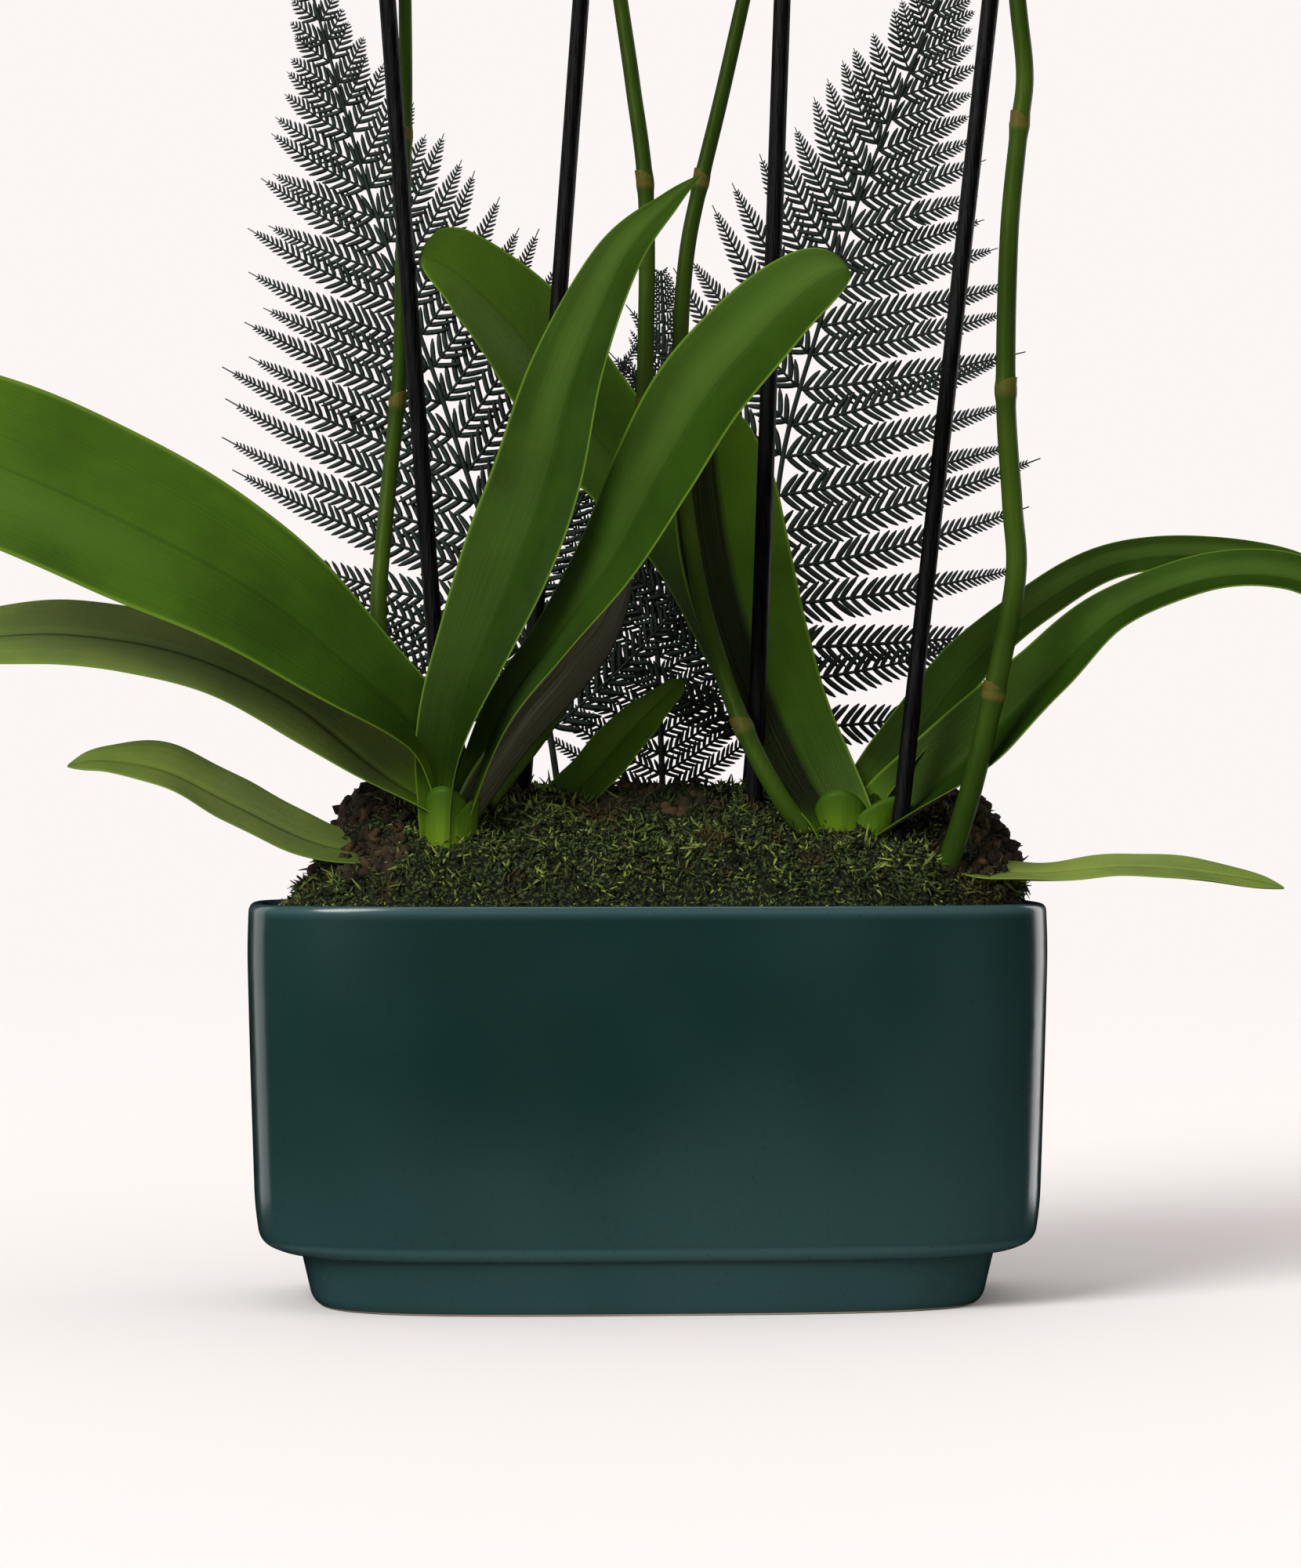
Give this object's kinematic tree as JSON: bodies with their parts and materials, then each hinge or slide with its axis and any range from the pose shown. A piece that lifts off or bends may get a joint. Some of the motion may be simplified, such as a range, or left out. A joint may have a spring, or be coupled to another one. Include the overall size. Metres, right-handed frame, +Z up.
{
  "type": "potted moth orchid and fern planting",
  "caption": "Moth orchids with broad leaves and staked, arching white flower stems, and dark fern fronds behind, in a low glazed oblong planter topped with moss.",
  "frame": {"origin": "centre of the planter's flat underside, where it rests", "axes": "+X along the planter's long side, +Y to its back, +Z up"},
  "size_m": [0.493, 0.2059, 0.6643],
  "materials": {
    "glaze": "gloss",
    "bark": "matte",
    "moss": "matte",
    "crown": "satin",
    "leaf": "satin",
    "stem": "satin",
    "stake": "satin",
    "clip": "matte",
    "fern": "matte",
    "petal": "satin"
  },
  "bodies": {
    "root": {"planter": "glaze", "growing_mix": "bark", "moss": "moss", "crown_left": "crown", "crown_right": "crown", "leaf_left_broad": "leaf", "leaf_left_low": "leaf", "leaf_left_small": "leaf", "leaf_left_upright": "leaf", "leaf_left_round": "leaf", "leaf_left_folded": "leaf", "leaf_left_short": "leaf", "leaf_right_back": "leaf", "leaf_right_upright": "leaf", "leaf_right_arching": "leaf", "leaf_right_front": "leaf", "leaf_right_low": "leaf", "spike_left": "stem", "spike_mid_left": "stem", "spike_mid_right": "stem", "spike_right": "stem", "stake_left": "stake", "stake_mid_left": "stake", "stake_mid_right": "stake", "stake_right": "stake", "clip_left": "clip", "clip_mid_left": "clip", "clip_mid_right": "clip", "clip_right": "clip", "frond_left": "fern", "frond_middle": "fern", "frond_right": "fern", "flower_1": "petal", "flower_2": "petal", "flower_3": "petal", "flower_4": "petal", "flower_5": "petal", "flower_6": "petal", "flower_7": "petal", "flower_8": "petal", "flower_9": "petal", "flower_10": "petal", "flower_11": "petal", "flower_12": "petal", "flower_13": "petal", "flower_14": "petal", "flower_15": "petal", "flower_16": "petal"}
  },
  "joints": []
}
